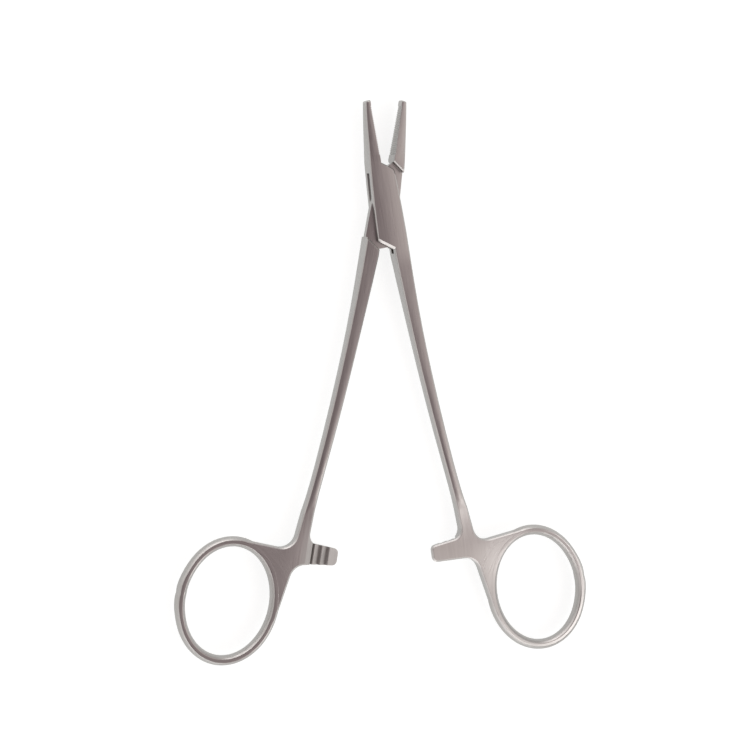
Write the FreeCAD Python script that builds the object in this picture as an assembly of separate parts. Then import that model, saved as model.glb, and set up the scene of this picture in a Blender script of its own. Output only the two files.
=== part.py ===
import FreeCAD, Part
import math
import os

# Box lock needle holder, a hand instrument of three pieces: an arm with the box, an arm with the
# tenon that passes through it, and the pivot pin. Both arms are drawn closed, about the pivot, with
# the jaws meeting in the plane x = 0, and are then turned apart to the pose in which it lies open.
# Lengths are in millimetres and angles in degrees. Heights are measured from the middle of the
# thickness until the last step, which sets the back of the box on z = 0.

# Pose
opening = 18.4

# Box lock
box_thick = 5.4
tenon_thick = 1.9
tenon_play = 0.05
pin_dia = 2.6
pin_play = 0.03
box_half_width = 3.72
edge_bevel = 0.28
shoulder_angle = 35.0
shoulder_up = 10.75
shoulder_down = 12.25
shoulder_gap = 0.12
shoulder_bevel = 0.4
cheek_corner = 1.5
cheek_end_bevel = 0.65
heel_side = 7.3
heel_top = 10.4
toe_side = 10.7
toe_root = 12.1
slot_up_side = 7.75
slot_up_middle = 11.65
slot_down_side = 11.6
slot_down_middle = 13.4
floor_round = 0.2

# Jaws
jaw_reach = 26.85
jaw_root = 11.2
jaw_root_width = 3.02
jaw_mid_width = 2.42
jaw_tip_width = 1.42
jaw_tip_thick = 3.3
jaw_tip_bevel = 0.15
jaw_crown = 0.08
jaw_bulge = 0.22
jaw_sections = 5
tip_round = 1.35
tip_face_round = 1.0
bite_play = 0.02
tooth_pitch = 0.56
tooth_depth = 0.26
teeth_start = 12.6

# Shanks
shank_start = 14.0
shank_bow_start = 12.0
shank_end = 82.5
shank_lean = 0.0321
shank_bow = 0.000729
shank_offset = 1.97
shank_root_width = 3.9
shank_thin_width = 2.7
shank_end_width = 2.9
shank_waist = 62.0
shank_mid_thick = 4.1
shank_crown = 0.26
shank_bulge = 0.12
shank_sections = 8

# Finger rings and webs
web_thick = 3.6
web_edge_bevel = 0.4
web_setback = 0.12
ring_x = 25.4
ring_down = 107.5
ring_half_width = 12.45
ring_half_height = 15.5
ring_lean = 2.7
ring_wire_side = 2.7
ring_wire_end = 2.65
ring_thick = 3.62
ring_flat = 1.0
ring_sections = 16
web_foot = (9.6, 95.9)
web_foot_round = 4.2
valley = (10.5, 92.35)
valley_round = 4.0
web_ring_low = (12.4, 110.8)
web_ring_top = (24.2, 91.25)

# Ratchet bars
bar_reach = 2.2
bar_top = 90.75
bar_bottom = 95.05
bar_root_top = (6.75, 89.9)
bar_root_round = 2.6
bar_end_round = 1.3
bar_clear = 0.03
click_pitch = 2.05
click_count = 3
click_depth = 0.7
click_rise = 0.4
click_land = 0.2
click_first = 4.9
click_ramp = 2.1
click_ramp_foot = 0.45
click_ramp_low = 0.75
click_groove = 0.1
bar_lead = 0.5

# Values worked out from the sizes above
half_box = box_thick / 2
half_tenon = tenon_thick / 2
half_slot = half_tenon + tenon_play
half_web = web_thick / 2
shoulder_fall = math.tan(math.radians(shoulder_angle))
far = 60.0


def vec(x, y, z=0.0):
    return FreeCAD.Vector(x, y, z)


def prism(points, low, high):
    """A straight-sided solid over a closed polygon of (x, y) points."""
    corners = [vec(x, y, low) for x, y in points]
    face = Part.Face(Part.makePolygon(corners + corners[:1]))
    return face.extrude(vec(0, 0, high - low))


def rounded_outline(points):
    """A closed wire through (x, y, radius) corners, each with an arc of its own radius."""
    edges = []
    starts = []
    ends = []
    count = len(points)
    for i, (x, y, radius) in enumerate(points):
        here = vec(x, y)
        back = vec(*points[i - 1][:2]) - here
        ahead = vec(*points[(i + 1) % count][:2]) - here
        back.normalize()
        ahead.normalize()
        half_angle = back.getAngle(ahead) / 2
        reach = radius / math.tan(half_angle)
        starts.append(here + back * reach)
        ends.append(here + ahead * reach)
        if radius > 0:
            inward = back + ahead
            inward.normalize()
            middle = here + inward * (radius / math.sin(half_angle) - radius)
            edges.append((i, Part.Arc(starts[i], middle, ends[i]).toShape()))
    chain = []
    arcs = dict(edges)
    for i in range(count):
        if i in arcs:
            chain.append(arcs[i])
        chain.append(Part.LineSegment(ends[i], starts[(i + 1) % count]).toShape())
    return Part.Wire(chain)


def plate(wire, half_thick):
    """A flat plate over a wire, as thick above the middle plane as below it."""
    solid = Part.Face(wire).extrude(vec(0, 0, 2 * half_thick))
    solid.translate(vec(0, 0, -half_thick))
    return solid


def rim_edges(solid, half_thick, keep):
    """The edges of a plate's two faces for which keep(x, y) of the middle point is true."""
    chosen = []
    for edge in solid.Edges:
        box = edge.BoundBox
        flat = box.ZLength < 1e-4
        middle = edge.valueAt((edge.FirstParameter + edge.LastParameter) / 2)
        if flat and abs(abs(middle.z) - half_thick) < 1e-4 and keep(middle.x, middle.y):
            chosen.append(edge)
    return chosen


def shoulder_line(start, x):
    """Height at x of a shoulder that crosses x = 0 at start and falls to the right."""
    return start - shoulder_fall * x


def outer_edge(y):
    """Half width of the box, or the back of the jaw, at a height y above the pivot."""
    if y > jaw_root:
        share = (y - jaw_root) / (jaw_reach - jaw_root)
        bend = 4 * (jaw_mid_width - (jaw_root_width + jaw_tip_width) / 2)
        return jaw_root_width + (jaw_tip_width - jaw_root_width) * share + bend * share * (1 - share)
    share = (jaw_root - y) / (jaw_root + shank_start)
    low = shank_centre(shank_start) + shank_width(shank_start) / 2
    bend = 4 * (box_half_width + 0.02 - (jaw_root_width + low) / 2)
    return jaw_root_width + (low - jaw_root_width) * share + bend * share * (1 - share)


def shoulder_at_side(start, sign):
    """Height at which a shoulder reaches the left side of the box (sign -1) or the right side (sign 1)."""
    y = start
    for _ in range(12):
        y = shoulder_line(start, sign * outer_edge(y))
    return y


def shank_centre(down):
    """The shank's middle line: a shallow curve that bows towards the other shank."""
    run = down - shank_bow_start
    return shank_offset + shank_lean * run + shank_bow * run * run


def shank_width(down):
    """Width of the shank: it narrows to a waist and widens again where the web starts."""
    run = down - shank_bow_start
    slim = max(0.0, 1 - run / shank_waist) ** 1.5
    flare = max(0.0, run / shank_waist - 0.95) / ((shank_end - shank_bow_start) / shank_waist - 0.95)
    narrow = shank_thin_width + (shank_root_width - shank_thin_width) * slim
    return narrow + (shank_end_width - shank_thin_width) * flare ** 2


def line(a, b):
    """A straight edge."""
    return Part.LineSegment(a, b).toShape()


def curve(a, control, b):
    """A quadratic curve from a to b that leans towards its control point."""
    bezier = Part.BezierCurve()
    bezier.setPoles([a, control, b])
    return bezier.toShape()


def section(y, left, right, half_thick, crown, bulges, bevels):
    """A closed cross section in the plane at y: crowned faces, bevelled edges and bulged sides.

    bulges and bevels give the left side and then the right side. A bevel of 0 leaves a sharp edge.
    """
    flat = half_thick - crown
    l_wall = left + bulges[0]
    r_wall = right - bulges[1]
    l_in = l_wall + bevels[0]
    r_in = r_wall - bevels[1]
    l_low = flat - bevels[0]
    r_low = flat - bevels[1]
    middle = (left + right) / 2
    edges = [curve(vec(l_in, y, flat), vec(middle, y, half_thick + crown), vec(r_in, y, flat))]
    if bevels[1] > 0:
        edges.append(line(vec(r_in, y, flat), vec(r_wall, y, r_low)))
    edges.append(curve(vec(r_wall, y, r_low), vec(right + bulges[1], y, 0), vec(r_wall, y, -r_low)))
    if bevels[1] > 0:
        edges.append(line(vec(r_wall, y, -r_low), vec(r_in, y, -flat)))
    edges.append(curve(vec(r_in, y, -flat), vec(middle, y, -half_thick - crown), vec(l_in, y, -flat)))
    edges.append(line(vec(l_in, y, -flat), vec(l_wall, y, -l_low)))
    edges.append(curve(vec(l_wall, y, -l_low), vec(left - bulges[0], y, 0), vec(l_wall, y, l_low)))
    edges.append(line(vec(l_wall, y, l_low), vec(l_in, y, flat)))
    return Part.Wire(edges)


def end_wire(solid, y):
    """The outline of a solid's flat end at height y, for a loft that carries on from there."""
    for face in solid.Faces:
        if abs(face.CenterOfMass.y - y) < 1e-6 and abs(abs(face.normalAt(0, 0).y) - 1) < 1e-9:
            return face.OuterWire


def blend(share):
    """A smooth step from 0 to 1."""
    share = min(max(share, 0.0), 1.0)
    return share * share * (3 - 2 * share)


def shank(top_wire, low_wire):
    """The right shank as a loft of sections from the box's end wire down to the web's."""
    wires = [top_wire]
    for i in range(1, shank_sections):
        share = i / shank_sections
        down = shank_start + (shank_end - shank_start) * share
        middle = shank_centre(down)
        half_width = shank_width(down) / 2
        thick = box_thick + (shank_mid_thick - box_thick) * blend(share / 0.45)
        thick += (web_thick - shank_mid_thick) * blend((share - 0.45) / 0.55)
        swell = blend(share / 0.2) * blend((1 - share) / 0.12)
        bevel = edge_bevel + (web_edge_bevel - edge_bevel) * share
        wires.append(section(-down, middle - half_width, middle + half_width, thick / 2,
                             shank_crown * swell, (shank_bulge * swell,) * 2, (bevel, bevel)))
    wires.append(low_wire)
    return Part.makeLoft(wires, True, False)


def jaw(root_wire):
    """The left jaw as a loft of sections, flat where it bites, with its tip rounded both ways."""
    wires = [root_wire]
    for i in range(1, jaw_sections + 1):
        share = i / jaw_sections
        y = jaw_root + (jaw_reach - jaw_root) * share
        thick = box_thick + (jaw_tip_thick - box_thick) * (0.35 * share + 0.65 * blend(share / 0.9))
        swell = blend(share / 0.3)
        bevel = edge_bevel + (jaw_tip_bevel - edge_bevel) * share
        wires.append(section(y, -outer_edge(y), -bite_play, thick / 2, jaw_crown * swell,
                             (jaw_bulge * swell, 0.0), (bevel, 0.0)))
    slope = outer_edge(jaw_reach - 1.0) - jaw_tip_width
    length = jaw_reach - jaw_root + 1.0
    back = jaw_tip_width + 0.05
    front_view = plate(rounded_outline([
        (-back, jaw_reach, tip_round), (1.0, jaw_reach, 0), (1.0, jaw_reach - length, 0),
        (-back - slope * length, jaw_reach - length, 0)]), box_thick)
    top = jaw_tip_thick / 2 + 0.1
    side_view = plate(rounded_outline([
        (-top, jaw_reach, tip_face_round), (top, jaw_reach, tip_face_round),
        (half_box + 1.0, jaw_reach - length, 0), (-half_box - 1.0, jaw_reach - length, 0)]), box_thick)
    side_view.rotate(vec(0, 0), vec(0, 1, 0), 90)
    return Part.makeLoft(wires, True, False).common(front_view).common(side_view)


def ring():
    """The right finger ring: an oval loft of a section with flat faces and bulged sides."""
    wires = []
    half_flat = ring_flat / 2
    half_ring = ring_thick / 2
    for i in range(ring_sections):
        angle = 2 * math.pi * i / ring_sections
        across = math.cos(angle)
        along = math.sin(angle)
        centre = vec(ring_half_width * across, ring_half_height * along)
        outward = vec(ring_half_height * across, ring_half_width * along)
        outward.normalize()
        half_wire = (ring_wire_end + (ring_wire_side - ring_wire_end) * across * across) / 2

        def at(out, z):
            return centre + outward * out + vec(0, 0, z)

        wires.append(Part.Wire([
            line(at(-half_flat, half_ring), at(half_flat, half_ring)),
            Part.Arc(at(half_flat, half_ring), at(half_wire, 0), at(half_flat, -half_ring)).toShape(),
            line(at(half_flat, -half_ring), at(-half_flat, -half_ring)),
            Part.Arc(at(-half_flat, -half_ring), at(-half_wire, 0), at(-half_flat, half_ring)).toShape(),
        ]))
    oval = Part.makeLoft(wires, True, False, True)
    oval.rotate(vec(0, 0), vec(0, 0, 1), ring_lean)
    oval.translate(vec(ring_x, -ring_down))
    return oval


def ring_core():
    """A prism just outside the inner edge of the ring's flat, which ends the web there."""
    inset = ring_flat / 2 - web_setback
    ellipse = Part.Ellipse(vec(0, 0), ring_half_height - inset, ring_half_width - inset)
    core = Part.Face(Part.Wire([ellipse.toShape()])).extrude(vec(0, 0, box_thick))
    core.rotate(vec(0, 0), vec(0, 0, 1), 90 + ring_lean)
    core.translate(vec(ring_x, -ring_down, -half_box))
    return core


def handle():
    """The web that carries the right shank, the bar and the ring, still without its teeth."""
    inner = shank_centre(shank_end) - shank_width(shank_end) / 2
    outer = shank_centre(shank_end) + shank_width(shank_end) / 2
    points = [
        (inner, -shank_end, 0),
        (bar_root_top[0], -bar_root_top[1], bar_root_round),
        (-bar_reach, -bar_top, bar_end_round),
        (-bar_reach, -bar_bottom, bar_end_round),
        (web_foot[0], -web_foot[1], web_foot_round),
        (web_ring_low[0], -web_ring_low[1], 0),
        (ring_x, -ring_down, 0),
        (web_ring_top[0], -web_ring_top[1], 0),
        (valley[0], -valley[1], valley_round),
        (outer, -shank_end, 0),
    ]
    solid = plate(rounded_outline(points), half_web)

    def on_outline(x, y):
        inside_ring = y < -web_ring_top[1] - 0.6 and x > web_ring_low[0] + 0.3
        return not inside_ring and y < -shank_end - 1e-3

    solid = solid.makeChamfer(web_edge_bevel, rim_edges(solid, half_web, on_outline))
    solid = solid.cut(ring_core())
    return solid.fuse(ring())


def ratchet_cutter():
    """What is taken from the left bar's front: a ramp down from the web and then the teeth."""
    tip = -bar_clear
    root = tip - click_depth
    profile = [
        (-click_first - click_ramp, half_web + 0.01),
        (-click_first - click_ramp_foot, click_ramp_low),
        (-click_first - click_ramp_foot + click_groove, root),
    ]
    for i in range(click_count):
        left = -click_first + i * click_pitch
        profile.append((left, root))
        profile.append((left + click_rise, tip))
        profile.append((left + click_rise + click_land, tip))
        if i < click_count - 1:
            profile.append((left + click_pitch, root))
    profile.append((bar_reach + 0.01, tip - bar_lead))
    profile.append((bar_reach + 5.0, tip - bar_lead))
    profile.append((bar_reach + 5.0, half_web + 5.0))
    profile.append((-click_first - click_ramp, half_web + 5.0))
    corners = [vec(x, -bar_bottom - 3.0, z) for x, z in profile]
    face = Part.Face(Part.makePolygon(corners + corners[:1]))
    return face.extrude(vec(0, bar_bottom - bar_top + 6.0, 0))


def bite_teeth():
    """Straight grooves across the left jaw's bite, as one group of sharp wedges."""
    wedges = []
    count = int((jaw_reach - tip_round - teeth_start) / tooth_pitch)
    for i in range(count):
        y = teeth_start + i * tooth_pitch
        points = [
            (-bite_play + 0.01, y),
            (-bite_play - tooth_depth, y + tooth_pitch / 2),
            (-bite_play + 0.01, y + tooth_pitch),
        ]
        wedges.append(prism(points, -half_box, half_box))
    return Part.makeCompound(wedges)


def side_curve(sign, top, bottom):
    """The side of the box from height top down to height bottom, as one curve."""
    count = 6
    points = []
    for i in range(count):
        y = top + (bottom - top) * i / (count - 1)
        points.append(vec(sign * outer_edge(y), y))
    spline = Part.BSplineCurve()
    spline.interpolate(points)
    return spline.toShape()


def lock_wire(left_top, left_bottom, right_top, right_bottom, upper, lower):
    """A closed outline: two side curves, joined over the top and bottom by (x, y) points."""
    left = side_curve(-1, left_top, left_bottom)
    right = side_curve(1, right_top, right_bottom)
    edges = [left, right]
    over = [left.valueAt(left.FirstParameter)] + [vec(*p) for p in upper] + [right.valueAt(right.FirstParameter)]
    under = [left.valueAt(left.LastParameter)] + [vec(*p) for p in lower] + [right.valueAt(right.LastParameter)]
    for chain in (over, under):
        for a, b in zip(chain, chain[1:]):
            edges.append(Part.LineSegment(a, b).toShape())
    return Part.Wire(Part.__sortEdges__(edges))


def upright_edges(solid, x, y):
    """The plate's upright edge at a corner of its outline."""
    found = []
    for edge in solid.Edges:
        box = edge.BoundBox
        if box.ZLength > 1 and math.hypot(box.Center.x - x, box.Center.y - y) < 0.05:
            found.append(edge)
    return found


def female_lock():
    """The box: a full thickness plate from the jaw to the shank, with its slot still closed."""
    gap = shoulder_gap / math.cos(math.radians(shoulder_angle))
    top = shoulder_up - gap
    low = -shoulder_down + gap
    inner = shank_centre(shank_start) - shank_width(shank_start) / 2
    left_end = shoulder_at_side(low, -1)
    right_start = shoulder_at_side(top, 1)
    wire = lock_wire(jaw_root, left_end, right_start, -shank_start,
                     [(-bite_play, jaw_root), (-bite_play, top)],
                     [(inner, shoulder_line(low, inner)), (inner, -shank_start)])
    solid = plate(wire, half_box)
    corner = upright_edges(solid, outer_edge(right_start), right_start)
    solid = solid.makeFillet(cheek_corner, corner)

    def sides(x, y):
        on_ends = abs(y - jaw_root) < 1e-3 or abs(y + shank_start) < 1e-3
        on_bite = abs(x + bite_play) < 1e-3 and y > 0
        return not on_ends and not on_bite

    solid = solid.makeChamfer(edge_bevel, rim_edges(solid, half_box, sides))
    bevel = end_bevel(inner, shoulder_line(low, inner))
    return solid.cut([bevel, turned_over(mirrored(bevel))])


def end_bevel(x, y):
    """A wedge that bevels the cheek's front edge along its lower end, up to a corner at (x, y)."""
    slope = math.radians(shoulder_angle)
    along = x * math.cos(slope) - y * math.sin(slope)
    edge = x * math.sin(slope) + y * math.cos(slope)
    corners = [
        vec(along, edge - 1.0, half_box - cheek_end_bevel - 1.0),
        vec(along, edge + cheek_end_bevel + 1.0, half_box + 1.0),
        vec(along, edge - 1.0, half_box + 1.0),
    ]
    wedge = Part.Face(Part.makePolygon(corners + corners[:1])).extrude(vec(-far, 0, 0))
    wedge.rotate(vec(0, 0), vec(0, 0, 1), -shoulder_angle)
    return wedge


def male_lock():
    """The tenon's plate, drawn with its jaw on the right, before it is thinned."""
    inner = -(shank_centre(shank_start) - shank_width(shank_start) / 2)
    wire = lock_wire(heel_side, -shank_start, jaw_root, -toe_side,
                     [(bite_play, heel_top), (bite_play, jaw_root)],
                     [(inner, -shank_start), (inner, -toe_root)])
    solid = plate(wire, half_box)

    def sides(x, y):
        on_ends = abs(y - jaw_root) < 1e-3 or abs(y + shank_start) < 1e-3
        on_jaw = x > outer_edge(y) - 0.1 and y > shoulder_line(shoulder_up, x) - 1.0
        on_shank = y < shoulder_line(-shoulder_down, x) + 1.0
        return not on_ends and (on_jaw or on_shank or abs(x) > 3.0)

    return solid.makeChamfer(edge_bevel, rim_edges(solid, half_box, sides))


def recess_cutter():
    """What thins the tenon on its front face: a channel between the two bevelled shoulders."""
    up = shoulder_up * math.cos(math.radians(shoulder_angle))
    down = -shoulder_down * math.cos(math.radians(shoulder_angle))
    over = half_box + 1.0
    turn = floor_round * (1 - math.sqrt(0.5))

    def at(u, z):
        return vec(0, u, z)

    profile = [
        Part.LineSegment(at(down + floor_round, half_tenon), at(up - floor_round, half_tenon)),
        Part.Arc(at(up - floor_round, half_tenon), at(up - turn, half_tenon + turn),
                 at(up, half_tenon + floor_round)),
        Part.LineSegment(at(up, half_tenon + floor_round), at(up, half_box - shoulder_bevel)),
        Part.LineSegment(at(up, half_box - shoulder_bevel), at(up + shoulder_bevel + 1.0, over)),
        Part.LineSegment(at(up + shoulder_bevel + 1.0, over), at(down - shoulder_bevel - 1.0, over)),
        Part.LineSegment(at(down - shoulder_bevel - 1.0, over), at(down, half_box - shoulder_bevel)),
        Part.LineSegment(at(down, half_box - shoulder_bevel), at(down, half_tenon + floor_round)),
        Part.Arc(at(down, half_tenon + floor_round), at(down + turn, half_tenon + turn),
                 at(down + floor_round, half_tenon)),
    ]
    face = Part.Face(Part.Wire([piece.toShape() for piece in profile]))
    face.translate(vec(-far / 2, 0))
    channel = face.extrude(vec(far, 0, 0))
    channel.rotate(vec(0, 0), vec(0, 0, 1), -shoulder_angle)
    return channel


def slot_cutter():
    """The slot through the box, whose two sloping ends stay clear of the tenon's heel and toe."""
    up_slope = (slot_up_middle - slot_up_side) / box_half_width
    down_slope = (slot_down_middle - slot_down_side) / box_half_width
    over = 2 * box_half_width
    points = [
        (-over, slot_up_middle - up_slope * over),
        (over, slot_up_middle + up_slope * over),
        (over, -slot_down_middle + down_slope * over),
        (-over, -slot_down_middle - down_slope * over),
    ]
    return prism(points, -half_slot, half_slot)


def mirrored(solid):
    """The same solid on the other side of the long axis."""
    return solid.mirror(vec(0, 0), vec(1, 0, 0))


def turned_over(solid):
    """The same solid after half a turn about the long axis."""
    copy = solid.copy()
    copy.rotate(vec(0, 0), vec(0, 1, 0), 180)
    return copy


def one_solid(shape):
    """The shape's only solid, with faces that lie in one plane joined."""
    return shape.removeSplitter().Solids[0]


def pivot_bore(radius):
    return Part.makeCylinder(radius, 2 * box_thick, vec(0, 0, -box_thick))


def joined_arm(lock):
    """A lock plate with its jaw on the left, carried on into the jaw, the right shank and the handle."""
    grip = handle()
    limb = shank(end_wire(lock, -shank_start), end_wire(grip, -shank_end))
    return lock.fuse([jaw(end_wire(lock, jaw_root)), limb, grip]).cut(bite_teeth())


def female_arm():
    """The left jaw, the box, the right shank, its bar with teeth on the back, and its ring."""
    arm = joined_arm(female_lock())
    arm = arm.cut([turned_over(ratchet_cutter()), slot_cutter(), pivot_bore(pin_dia / 2)])
    return one_solid(arm)


def male_arm():
    """The right jaw, the tenon, the left shank, its bar with teeth on the front, and its ring."""
    arm = mirrored(joined_arm(mirrored(male_lock())))
    channels = [recess_cutter(), mirrored(turned_over(recess_cutter()))]
    arm = arm.cut([ratchet_cutter(), pivot_bore(pin_dia / 2 + pin_play)] + channels)
    return one_solid(arm)


def pivot_pin():
    """The pin, ground flush with the outside of both cheeks."""
    return Part.makeCylinder(pin_dia / 2, box_thick, vec(0, 0, -half_box))


def place(solid, angle):
    """Turn a piece about the pivot and set the back of the box on z = 0."""
    solid.rotate(vec(0, 0), vec(0, 0, 1), angle)
    solid.translate(vec(0, 0, half_box))
    return solid


pieces = {
    "female_arm": place(female_arm(), opening / 2),
    "male_arm": place(male_arm(), -opening / 2),
    "pivot_pin": place(pivot_pin(), 0),
}

os.makedirs("parts", exist_ok=True)
for name, solid in pieces.items():
    solid.exportStep("parts/" + name + ".step")
    print(name, round(solid.Volume, 1), "mm3")
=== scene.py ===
# %% [markdown]
# A surgical needle holder in satin steel, lying open on a white table.
#
# The solids come from CAD and are already right in size and shape, so this lesson is about
# everything that makes steel look like steel: the way it was ground, the softened edges, and the
# room that it mirrors. Metal has almost no colour of its own, so most of the work is in the way
# its faces lean, in the fine scratches and in the light.

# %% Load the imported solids
import math

import bpy
import numpy as np
from mathutils import Matrix, Vector

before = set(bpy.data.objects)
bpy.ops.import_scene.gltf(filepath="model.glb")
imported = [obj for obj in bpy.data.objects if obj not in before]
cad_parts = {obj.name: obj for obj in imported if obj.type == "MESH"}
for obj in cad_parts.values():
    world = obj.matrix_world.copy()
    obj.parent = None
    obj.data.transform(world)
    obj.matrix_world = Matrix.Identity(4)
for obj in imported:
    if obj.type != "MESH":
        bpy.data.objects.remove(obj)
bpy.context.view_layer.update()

MM = 0.001
HALF_OPENING = 9.2  # degrees that each arm is turned at rest
HALF_THICKNESS = 2.7 * MM

female_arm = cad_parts["female_arm"]
male_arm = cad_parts["male_arm"]
pivot_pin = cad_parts["pivot_pin"]
print("solids:", sorted(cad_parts))


# %% [markdown]
# Small helpers come first. A node tree is easier to read when each node is one line, so `add`
# makes a node and fills in its settings and inputs, whether they are plain values or the outputs
# of other nodes. The others do the same for the kinds of node that come up most.

# %% Helpers for node trees
def put(tree, slot, value):
    """Give an input a plain value, or join it to the output of another node."""
    if isinstance(value, bpy.types.NodeSocket):
        tree.links.new(value, slot)
    elif slot.type == "RGBA":
        slot.default_value = (*value, 1.0)
    else:
        slot.default_value = value


def add(tree, kind, **values):
    """A node of one kind, with some of its settings and inputs filled in."""
    node = tree.nodes.new("ShaderNode" + kind)
    for name, value in values.items():
        if hasattr(node, name):
            setattr(node, name, value)
        else:
            put(tree, node.inputs[name.replace("_", " ")], value)
    return node


def maths(tree, operation, a, b=None, clamp=False):
    """One Math node. a and b are numbers or outputs of other nodes."""
    node = add(tree, "Math", operation=operation, use_clamp=clamp)
    put(tree, node.inputs[0], a)
    if b is not None:
        put(tree, node.inputs[1], b)
    return node.outputs[0]


def blend(tree, kind, share, low, high):
    """A Mix node from low to high by share. kind is FLOAT, VECTOR or RGBA."""
    node = add(tree, "Mix", data_type=kind)
    first, result = {"FLOAT": (2, 0), "VECTOR": (4, 1), "RGBA": (6, 2)}[kind]
    put(tree, node.inputs[0], share)
    put(tree, node.inputs[first], low)
    put(tree, node.inputs[first + 1], high)
    return node.outputs[result]


def step(tree, value, low, high):
    """0 below low, 1 above high, and smooth between them."""
    node = add(tree, "MapRange", interpolation_type="SMOOTHSTEP")
    for slot, number in zip(node.inputs[1:5], (low, high, 0.0, 1.0)):
        slot.default_value = number
    tree.links.new(value, node.inputs[0])
    return node.outputs[0]


def new_group(name, takes, gives):
    """An empty node group, and its inputs and outputs. takes and gives say each socket's kind."""
    tree = bpy.data.node_groups.new(name, "ShaderNodeTree")
    for in_out, sockets in (("INPUT", takes), ("OUTPUT", gives)):
        for socket, kind in sockets.items():
            tree.interface.new_socket(socket, in_out=in_out, socket_type="NodeSocket" + kind)
    inputs = tree.nodes.new("NodeGroupInput").outputs
    outputs = tree.nodes.new("NodeGroupOutput").inputs
    return tree, inputs, outputs


def place_on_arm(tree, turn):
    """x, y and z of the shaded point in metres, with the arm turned back by its angle."""
    place = add(tree, "TexCoord").outputs["Object"]
    turned = add(tree, "VectorRotate", rotation_type="Z_AXIS", Vector=place, Angle=turn)
    return add(tree, "SeparateXYZ", Vector=turned.outputs[0]).outputs


# %% [markdown]
# The steel is ground on a belt. The belt runs along the shanks, and it follows the wire round each
# finger ring, so the lines that it leaves do too. They are noise that is stretched along the belt's
# path, the fine lines far more than the broad ones. On the shanks that path is the arm's own
# length. On a ring it is the angle round the ring's centre, so there the pattern reads the angle
# and the distance instead of x and y. A picture of brushed steel would do it too, but it would
# need every surface laid out flat, and it blurs up close. Noise needs no layout and stays sharp.
# One group holds it, and each arm gives it its own turn and its own ring.

# %% Group: lines left by the grinding belt
RING_CENTRE = (25.4 * MM, -107.5 * MM)  # of the unturned right arm; the left one has -x
RING_OUTSIDE = 18.5 * MM  # no part of the wire is farther from the centre
RING_FADE = 2.5 * MM  # over this distance the ring's lines give way to the shank's
RING_MEAN = 14.0 * MM  # radius that turns an angle into a length along the wire
LINES = {  # lines to the metre, stretch
    "Fine": (5200.0, 130.0),
    "Broad": (1700.0, 16.0),
}


def make_belt_lines():
    """Noise in (across, along, up) that is stretched along the belt's path.

    The point is turned by -turn about z. Then across = x and along = y / stretch, or on a ring
    across = distance from its centre and along = angle times the ring's mean radius / stretch.
    """
    takes = {"Turn": "Float", "Ring X": "Float", "Ring Y": "Float"}
    tree, inputs, outputs = new_group("belt lines", takes, {"Fine": "Float", "Broad": "Float"})
    x, y, z = place_on_arm(tree, inputs["Turn"])
    dx = maths(tree, "SUBTRACT", x, inputs["Ring X"])
    dy = maths(tree, "SUBTRACT", y, inputs["Ring Y"])
    squares = maths(tree, "ADD", maths(tree, "MULTIPLY", dx, dx), maths(tree, "MULTIPLY", dy, dy))
    distance = maths(tree, "SQRT", squares)
    angle = maths(tree, "ARCTAN2", dy, dx)
    inside = maths(tree, "SUBTRACT", RING_OUTSIDE, distance)
    on_ring = maths(tree, "MULTIPLY", inside, 1.0 / RING_FADE, clamp=True)
    across = blend(tree, "FLOAT", on_ring, x, distance)
    along = blend(tree, "FLOAT", on_ring, y, maths(tree, "MULTIPLY", angle, RING_MEAN))
    for name, (size, stretch) in LINES.items():
        belt_place = add(
            tree, "CombineXYZ",
            X=maths(tree, "MULTIPLY", across, size),
            Y=maths(tree, "MULTIPLY", along, size / stretch),
            Z=maths(tree, "MULTIPLY", z, size),
        )
        noise = add(tree, "TexNoise", Scale=1.0, Detail=3.0, Roughness=0.6, Vector=belt_place.outputs[0])
        tree.links.new(noise.outputs["Fac"], outputs[name])
    return tree


belt_lines = make_belt_lines()
print("group:", belt_lines.name, len(belt_lines.nodes), "nodes")


# %% [markdown]
# Nothing that is ground by hand is quite flat. The cheeks of the box fall away towards their sides,
# which is why they shade from dark to light across their width. Further down each arm leans a
# little to one side, the web and the ring of one arm are dished, and the wire of each ring is a
# little rounder than its flat. Such a lean hardly shows in an outline, but it moves what the face
# mirrors by twice its angle. So the solids keep their plain faces, and a bump on a shallow height
# tells the shader about it: no surface moves. The amounts are set by how the photograph's faces
# catch the light. On the right web that takes a lean of some 16 degrees, more than grinding alone
# would leave. The same group marks two places that are treated in their own way: the shank, and
# the bar with the ratchet.

# %% Group: the crown that hand grinding leaves
# Stretches of an arm over which one treatment gives way to the next: along it, then across it.
BOX_FOOT = (-18.0 * MM, -12.0 * MM)
JAW_ROOT = (9.0 * MM, 14.0 * MM)
SHANK_FOOT = (-100.0 * MM, -35.0 * MM)
LEAN_CHANGE = (-108.0 * MM, -54.0 * MM)
WEB_TOP = (-92.0 * MM, -78.0 * MM)
BAR_ROOT = (7.5 * MM, 9.0 * MM)

BOX_CROWN = -22.0  # per metre
JAW_MIDDLE = -2.0 * MM  # u of the line about which the jaw's face leans
SHANK_MIDDLE = 2.5 * MM
WEB_MIDDLE = (13.0 * MM, -105.0 * MM)  # u and y
OVAL_RADII = (12.45 * MM, 15.5 * MM)  # of the middle line of the ring's wire
OVAL_TURN = (0.9989, 0.0471)  # cosine and sine of its slant
TOWARDS_WEB = (-0.809, 0.588)  # from the ring's centre
WEB_JOINS = (0.55, 0.75)  # cosine of the angle to that direction
WIRE_HALF = 0.5 * MM
WIRE_CROWN = -50.0  # per metre
RIM_START = 0.25 * MM
RIM_CROWN = -1000.0  # per metre


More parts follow.
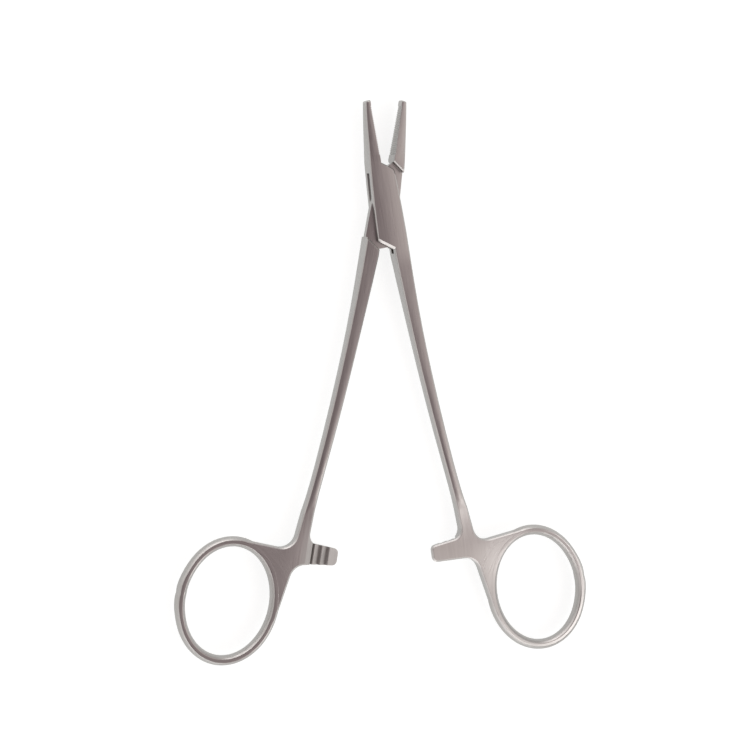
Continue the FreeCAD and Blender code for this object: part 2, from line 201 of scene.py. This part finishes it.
def make_ground_crown():
    """Height in metres, in the arm's own frame, with u = x side.

    Box: BOX_CROWN x^2. Jaw: Jaw Lean (u - its middle). Below the box: -lean (u - its middle), with
    lean going from Lean Top to Lean Foot. Web and ring, with p and q the distances from the web's
    middle along u and y: Dish p^2 + Twist p q, and Curl p^2 on the bar's side. Wire of the ring:
    WIRE_CROWN d^2 + RIM_CROWN (d - RIM_START)^2, where d is the distance from the middle line of
    its flat, up to WIRE_HALF, and only on its inner half where the web joins.
    """
    amounts = ("Turn", "Side", "Jaw Lean", "Lean Top", "Lean Foot", "Dish", "Twist", "Curl")
    gives = {"Height": "Float", "On Shank": "Float", "On Bar": "Float"}
    tree, inputs, outputs = new_group("ground crown", dict.fromkeys(amounts, "Float"), gives)

    def times(a, b):
        return maths(tree, "MULTIPLY", a, b)

    def plus(a, b):
        return maths(tree, "ADD", a, b)

    def less(a, b):
        return maths(tree, "SUBTRACT", a, b)

    def square(a):
        return times(a, a)

    x, y = place_on_arm(tree, inputs["Turn"])[:2]
    u = times(x, inputs["Side"])

    box_part = step(tree, y, *BOX_FOOT)
    below_box = less(1.0, box_part)
    shank_part = step(tree, y, *SHANK_FOOT)
    web_part = less(1.0, step(tree, y, *WEB_TOP))
    box_fall = times(times(square(x), BOX_CROWN), box_part)
    jaw_fall = times(times(less(u, JAW_MIDDLE), inputs["Jaw Lean"]), step(tree, y, *JAW_ROOT))
    foot = less(1.0, step(tree, y, *LEAN_CHANGE))
    lean = blend(tree, "FLOAT", foot, inputs["Lean Top"], inputs["Lean Foot"])
    arm_fall = times(times(less(SHANK_MIDDLE, u), lean), below_box)
    p = less(u, WEB_MIDDLE[0])
    q = less(y, WEB_MIDDLE[1])
    dish = times(square(p), inputs["Dish"])
    twist = times(times(p, q), inputs["Twist"])
    curl = times(square(maths(tree, "MINIMUM", p, 0.0)), inputs["Curl"])

    dx = less(u, RING_CENTRE[0])
    dy = less(y, RING_CENTRE[1])
    distance = maths(tree, "SQRT", plus(square(dx), square(dy)))
    slant_x = plus(times(dx, OVAL_TURN[0]), times(dy, OVAL_TURN[1]))
    slant_y = less(times(dy, OVAL_TURN[0]), times(dx, OVAL_TURN[1]))
    across = maths(tree, "DIVIDE", slant_x, OVAL_RADII[0])
    along = maths(tree, "DIVIDE", slant_y, OVAL_RADII[1])
    size = maths(tree, "SQRT", plus(square(across), square(along)))
    off_line = less(distance, maths(tree, "DIVIDE", distance, size))
    web_way = plus(times(dx, TOWARDS_WEB[0]), times(dy, TOWARDS_WEB[1]))
    free_side = less(1.0, step(tree, maths(tree, "DIVIDE", web_way, distance), *WEB_JOINS))
    outer = times(maths(tree, "MAXIMUM", off_line, 0.0), free_side)
    inner = maths(tree, "MINIMUM", off_line, 0.0)
    d = maths(tree, "MINIMUM", less(outer, inner), WIRE_HALF)
    past_rim = maths(tree, "MAXIMUM", less(d, RIM_START), 0.0)
    wire = plus(times(square(d), WIRE_CROWN), times(square(past_rim), RIM_CROWN))

    of_web = times(plus(plus(dish, twist), plus(curl, wire)), web_part)
    height = plus(plus(plus(box_fall, jaw_fall), arm_fall), of_web)
    on_bar = times(web_part, less(1.0, step(tree, u, *BAR_ROOT)))
    tree.links.new(height, outputs["Height"])
    tree.links.new(times(below_box, shank_part), outputs["On Shank"])
    tree.links.new(on_bar, outputs["On Bar"])
    return tree


ground_crown = make_ground_crown()
print("group:", ground_crown.name, len(ground_crown.nodes), "nodes")


# %% [markdown]
# The crown in the solid's shanks is what keeps their edges from looking stamped. In the
# photograph their faces catch less of the room than such a crown would, as if the belt had taken
# the middle down. A flatter loft would lose the soft outline with the shine, so only the normal
# goes part of the way back to straight up. The same mask tells faces from bevels and sides, which
# keep their own normal.

# %% Group: faces taken down by the belt
FACE_SLOPE = (0.78, 0.86)  # cosine of a face's angle to z: none of it a face, all of it a face


def make_settled_faces():
    """Normal mixed by Amount with +-z, where it already points within some 35 degrees of it."""
    takes = {"Amount": "Float", "Normal": "Vector"}
    tree, inputs, outputs = new_group("settled faces", takes, {"Normal": "Vector", "On Face": "Float"})
    z = add(tree, "SeparateXYZ", Vector=inputs["Normal"]).outputs[2]
    up = add(tree, "CombineXYZ", Z=maths(tree, "SIGN", z))
    on_face = step(tree, maths(tree, "ABSOLUTE", z), *FACE_SLOPE)
    share = maths(tree, "MULTIPLY", on_face, inputs["Amount"])
    mixed = blend(tree, "VECTOR", share, inputs["Normal"], up.outputs[0])
    even = add(tree, "VectorMath", operation="NORMALIZE")
    tree.links.new(mixed, even.inputs[0])
    tree.links.new(even.outputs[0], outputs["Normal"])
    tree.links.new(on_face, outputs["On Face"])
    return tree


settled_faces = make_settled_faces()
print("group:", settled_faces.name, len(settled_faces.nodes), "nodes")


# %% [markdown]
# Every edge of a real instrument is broken by polishing. A rounding this small would cost more
# triangles than all the rest, on serrations and teeth most of all. A Bevel node gives the smoothed
# normal near an edge without changing the mesh, and where it differs from the true normal there is
# an edge. That difference is a mask for the smoother rim that polishing leaves, and for a painted
# highlight: a lighter colour along the edges.

# %% Group: polished edges
EDGE_RADIUS = 0.14 * MM
PIN_FLUSH = (1.6 * MM, 2.0 * MM)  # the pin is ground flush with the cheek, so it has no edge


def make_polished_edges():
    """Edge mask = (1 - dot(rounded normal, true normal)) * strength, held between 0 and 1.

    Nearer to the pivot than PIN_FLUSH the normal isn't rounded, and there is no edge.
    """
    gives = {"Edge": "Float", "Rounded": "Vector"}
    tree, inputs, outputs = new_group("polished edges", {"Strength": "Float"}, gives)
    rounded = add(tree, "Bevel", samples=8, Radius=EDGE_RADIUS)
    true = add(tree, "NewGeometry")
    flat = add(tree, "VectorMath", operation="MULTIPLY")
    tree.links.new(add(tree, "TexCoord").outputs["Object"], flat.inputs[0])
    flat.inputs[1].default_value = (1.0, 1.0, 0.0)
    reach = add(tree, "VectorMath", operation="LENGTH")
    tree.links.new(flat.outputs[0], reach.inputs[0])
    away = step(tree, reach.outputs["Value"], *PIN_FLUSH)
    normal = blend(tree, "VECTOR", away, true.outputs["Normal"], rounded.outputs[0])
    dot = add(tree, "VectorMath", operation="DOT_PRODUCT")
    tree.links.new(normal, dot.inputs[0])
    tree.links.new(true.outputs["True Normal"], dot.inputs[1])
    apart = maths(tree, "SUBTRACT", 1.0, dot.outputs["Value"])
    edge = maths(tree, "MULTIPLY", apart, inputs["Strength"], clamp=True)
    tree.links.new(edge, outputs["Edge"])
    tree.links.new(normal, outputs["Rounded"])
    return tree


polished_edges = make_polished_edges()
print("group:", polished_edges.name, len(polished_edges.nodes), "nodes")


# %% [markdown]
# The finish itself is one metallic shader. The belt lines change its roughness a little and press
# a very shallow bump into it, broad lines change its colour and dullness from stretch to stretch,
# and the polished edges are smoother than most of the faces and painted lighter, as a highlight.
# The shader could also stretch its highlights along the belt. Here the bump does that work, because
# it can follow the ring's wire with the same lines that it takes on the shank.

# %% Satin steel
FACE_COLOURS = ((0.41, 0.402, 0.39), (0.50, 0.49, 0.475))
FACE_ROUGHNESS = (0.25, 0.37)
# painted highlight: the edges' colour is lighter than most of the faces'
EDGE_STEEL_AND_HIGHLIGHT = (0.49, 0.48, 0.465)
EDGE_ROUGHNESS = 0.2
EDGE_STRENGTH = 3.0
STREAKS = 0.2  # how far the fine lines change the roughness
SETTLED = 0.7  # how far the shanks' faces are taken down
FINE_DEPTH = 0.006 * MM
BROAD_DEPTH = 0.025 * MM


def satin_steel(name, side, turn, leans, bar_roughness):
    """A metal shader for one arm.

    side is 1 or -1 for the side of its shank, turn is its angle in degrees, and leans names the
    other inputs of the ground crown. Only the faces follow that crown. bar_roughness is that of
    the ratchet's bar.
    """
    finish = bpy.data.materials.new(name)
    finish.use_nodes = True
    tree = finish.node_tree
    shader = tree.nodes["Principled BSDF"]
    shader.inputs["Metallic"].default_value = 1.0

    back = -math.radians(turn)
    ring_x, ring_y = RING_CENTRE
    lines = add(tree, "Group", node_tree=belt_lines, Turn=back, Ring_X=ring_x * side, Ring_Y=ring_y)
    crown = add(tree, "Group", node_tree=ground_crown, Turn=back, Side=side, **leans)
    rims = add(tree, "Group", node_tree=polished_edges, Strength=EDGE_STRENGTH)
    edge, rounded = rims.outputs["Edge"], rims.outputs["Rounded"]
    fine, broad = lines.outputs["Fine"], lines.outputs["Broad"]

    face_colour = blend(tree, "RGBA", broad, *FACE_COLOURS)
    # painted highlight: along the edges the face colour gives way to a lighter one
    put(tree, shader.inputs["Base Color"], blend(tree, "RGBA", edge, face_colour, EDGE_STEEL_AND_HIGHLIGHT))

    dull = blend(tree, "FLOAT", broad, *FACE_ROUGHNESS)
    streaks = maths(tree, "MULTIPLY", maths(tree, "SUBTRACT", fine, 0.5), STREAKS)
    rough = blend(tree, "FLOAT", edge, maths(tree, "ADD", dull, streaks), EDGE_ROUGHNESS)
    rough = blend(tree, "FLOAT", crown.outputs["On Bar"], rough, bar_roughness)
    put(tree, shader.inputs["Roughness"], rough)

    amount = maths(tree, "MULTIPLY", crown.outputs["On Shank"], SETTLED)
    settled = add(tree, "Group", node_tree=settled_faces, Amount=amount)
    put(tree, settled.inputs["Normal"], rounded)
    crowned = add(tree, "Bump", Strength=1.0, Distance=1.0, Height=crown.outputs["Height"])
    put(tree, crowned.inputs["Normal"], settled.outputs["Normal"])
    ground = blend(tree, "VECTOR", settled.outputs["On Face"], rounded, crowned.outputs[0])
    fine_height = maths(tree, "MULTIPLY", fine, FINE_DEPTH)
    broad_height = maths(tree, "MULTIPLY", broad, BROAD_DEPTH)
    scratches = maths(tree, "ADD", fine_height, broad_height)
    scratched = add(tree, "Bump", Strength=1.0, Distance=1.0, Height=scratches, Normal=ground)
    put(tree, shader.inputs["Normal"], scratched.outputs[0])
    return finish


def dress(solid, finish):
    """Give one solid its finish."""
    solid.data.materials.clear()
    solid.data.materials.append(finish)
    print(solid.name, "wears", finish.name)


right_leans = {"Lean Foot": 0.28, "Dish": 6.2, "Twist": 11.0}
left_leans = {"Jaw Lean": 0.08, "Lean Top": 0.07, "Lean Foot": 0.06, "Curl": -9.0}
dress(female_arm, satin_steel("satin steel of the box arm", 1.0, HALF_OPENING, right_leans, 0.33))
dress(male_arm, satin_steel("satin steel of the tenon arm", -1.0, -HALF_OPENING, left_leans, 0.6))
dress(pivot_pin, satin_steel("satin steel of the pin", 1.0, HALF_OPENING, right_leans, 0.33))


# %% [markdown]
# The table is a large pale sheet. The photograph's background is pure white. More light would
# whiten the sheet, but the steel would be washed out with it. So the sheet adds light of its own
# to what the camera and the steel see of it, and its own grey still takes the instrument's shadow.

# %% White table
TABLE_HALF_WIDTH = 1.5
TABLE_TOP = -0.2 * MM
PAPER_COLOUR = (0.40, 0.43, 0.42)
GLOW_SEEN = 0.8
GLOW_MIRRORED = 0.68


def make_table():
    """A flat square, 3 m wide, just under the instrument."""
    corners = np.array([(-1, -1), (1, -1), (1, 1), (-1, 1)], float) * TABLE_HALF_WIDTH
    places = np.column_stack([corners, np.full(4, TABLE_TOP)])
    mesh = bpy.data.meshes.new("table top")
    mesh.from_pydata(places.tolist(), [], [(0, 1, 2, 3)])
    table = bpy.data.objects.new("table_top", mesh)
    bpy.context.scene.collection.objects.link(table)
    paper = bpy.data.materials.new("white paper")
    paper.use_nodes = True
    tree = paper.node_tree
    shader = tree.nodes["Principled BSDF"]
    put(tree, shader.inputs["Base Color"], PAPER_COLOUR)
    shader.inputs["Roughness"].default_value = 0.9
    shader.inputs["Specular IOR Level"].default_value = 0.1
    path = add(tree, "LightPath").outputs
    seen = maths(tree, "ADD", path["Is Camera Ray"], path["Is Transmission Ray"])
    to_camera = maths(tree, "MULTIPLY", seen, GLOW_SEEN)
    to_steel = maths(tree, "MULTIPLY", path["Is Glossy Ray"], GLOW_MIRRORED)
    strength = maths(tree, "ADD", to_camera, to_steel)
    glow = add(tree, "Emission", Color=(1.0, 1.0, 1.0), Strength=strength)
    both = add(tree, "AddShader")
    tree.links.new(shader.outputs[0], both.inputs[0])
    tree.links.new(glow.outputs[0], both.inputs[1])
    tree.links.new(both.outputs[0], tree.nodes["Material Output"].inputs["Surface"])
    table.data.materials.append(paper)
    print("staged:", table.name)


make_table()


# %% [markdown]
# Steel shows the room. In the photograph the faces that look straight at the camera are the
# darkest, because overhead there is only a dim, slightly warm ceiling. They get lighter towards
# the right, where the room opens to a large pale wall. Bevels that mirror the horizon are almost
# white, most of all those on the left that look up or down the instrument. Lamps alone would show
# in steel as spots on black. So the world's colour is drawn by the direction's lean to the right,
# and near the horizon it goes over into a band that is brightest fore and aft.

# %% The room
CEILING = [  # lean to the right in degrees, colour
    (-90, (0.9, 0.86, 0.85)),
    (-50, (0.5, 0.43, 0.43)),
    (-25, (0.25, 0.2, 0.21)),
    (-3, (0.3, 0.24, 0.25)),
    (8, (0.38, 0.31, 0.32)),
    (17, (0.57, 0.48, 0.485)),
    (26, (0.78, 0.67, 0.665)),
    (40, (0.9, 0.79, 0.77)),
    (55, (1.08, 0.98, 0.96)),
    (75, (1.22, 1.14, 1.12)),
    (90, (1.22, 1.14, 1.12)),
]
HORIZON = (0.25, 0.55)  # z of the direction: all horizon, all ceiling
LEFT_HALF = (0.0, 0.5)  # x of the direction: all left, all right
HORIZON_ASIDE = (0.95, 0.91, 0.9)
HORIZON_FORE_AND_AFT = (2.6, 2.5, 2.5)


def make_room():
    """World colour = a ramp over atan2(x, z), blended where z is small into the horizon's band.

    The band's own colour goes from HORIZON_ASIDE to HORIZON_FORE_AND_AFT by y^2 on the left half.
    """
    world = bpy.data.worlds.new("studio")
    bpy.context.scene.world = world
    world.use_nodes = True
    tree = world.node_tree
    direction = add(tree, "TexCoord").outputs["Generated"]
    x, y, z = add(tree, "SeparateXYZ", Vector=direction).outputs
    half_turns = maths(tree, "DIVIDE", maths(tree, "ARCTAN2", x, z), math.pi)
    ramp = add(tree, "ValToRGB", Fac=maths(tree, "ADD", half_turns, 0.5))
    stops = ramp.color_ramp.elements
    while len(stops) < len(CEILING):
        stops.new(0.5)
    for stop, (degrees, tone) in zip(stops, CEILING):
        stop.position = degrees / 180.0 + 0.5
        stop.color = (*tone, 1.0)
    low = maths(tree, "SUBTRACT", 1.0, step(tree, z, *HORIZON))
    left_half = maths(tree, "SUBTRACT", 1.0, step(tree, x, *LEFT_HALF))
    fore_and_aft = maths(tree, "MULTIPLY", maths(tree, "MULTIPLY", y, y), left_half)
    band = blend(tree, "RGBA", fore_and_aft, HORIZON_ASIDE, HORIZON_FORE_AND_AFT)
    colour = blend(tree, "RGBA", low, ramp.outputs[0], band)
    put(tree, tree.nodes["Background"].inputs["Color"], colour)
    print("room:", world.name, len(stops), "tones")


make_room()


# %% [markdown]
# The room's light comes from everywhere, and so it leaves no clear shadow. A real studio has one
# side that is a little stronger. One large, weak lamp on the right and towards the rings gives the
# table the faint, soft shadow of the photograph.

# %% One soft lamp
LAMP_AIM = (0.0, -0.045, 0.0)  # about the middle of the instrument


def soft_lamp(name, place, size, power):
    """A square area lamp at a place in metres, turned towards LAMP_AIM."""
    lamp = bpy.data.lights.new(name, "AREA")
    lamp.shape = "SQUARE"
    lamp.size = size
    lamp.energy = power
    holder = bpy.data.objects.new(name, lamp)
    holder.location = place
    aim = Vector(LAMP_AIM) - Vector(place)
    holder.rotation_mode = "QUATERNION"
    holder.rotation_quaternion = aim.to_track_quat("-Z", "Y")
    bpy.context.scene.collection.objects.link(holder)
    print("lamp:", name, power, "W")


soft_lamp("soft_lamp_right", place=(0.6, -0.5, 0.5), size=0.5, power=1.2)


# %% [markdown]
# The camera is placed where the photographer's was: above the instrument, a little to its left,
# far away and with a long lens, so that the rings and the jaws are seen at nearly one scale. From
# straight above, the side faces and the slot in the box would be hidden. The Standard view shows
# each colour about as it is written.

# %% Camera
CAMERA_TARGET = (-2.593 * MM, -44.628 * MM, HALF_THICKNESS)
CAMERA_ASIDE = math.radians(17.0)  # to the left
CAMERA_ALONG = math.radians(4.0)  # towards the jaws
CAMERA_DISTANCE = 715.0  # mm
PICTURE_WIDTH = 195.0  # mm that the picture shows at that distance
SENSOR_WIDTH = 36.0  # mm


def make_camera():
    """A camera that looks at its target from aside, with the instrument's +y up in the picture."""
    aside, along = CAMERA_ASIDE, CAMERA_ALONG
    back = Vector(
        (-math.sin(aside) * math.cos(along), math.sin(along), math.cos(aside) * math.cos(along))
    )
    right = Vector((0, 1, 0)).cross(back).normalized()
    up = back.cross(right)
    data = bpy.data.cameras.new("camera")
    data.sensor_width = SENSOR_WIDTH
    data.lens = SENSOR_WIDTH * CAMERA_DISTANCE / PICTURE_WIDTH
    data.clip_start = 0.01
    data.clip_end = 20.0
    camera = bpy.data.objects.new("camera", data)
    place = Matrix.Translation(Vector(CAMERA_TARGET) + back * (CAMERA_DISTANCE * MM))
    camera.matrix_world = place @ Matrix((right, up, back)).transposed().to_4x4()
    bpy.context.scene.collection.objects.link(camera)
    bpy.context.scene.camera = camera
    print("camera:", round(data.lens, 1), "mm lens")


make_camera()
bpy.context.scene.view_settings.view_transform = "Standard"
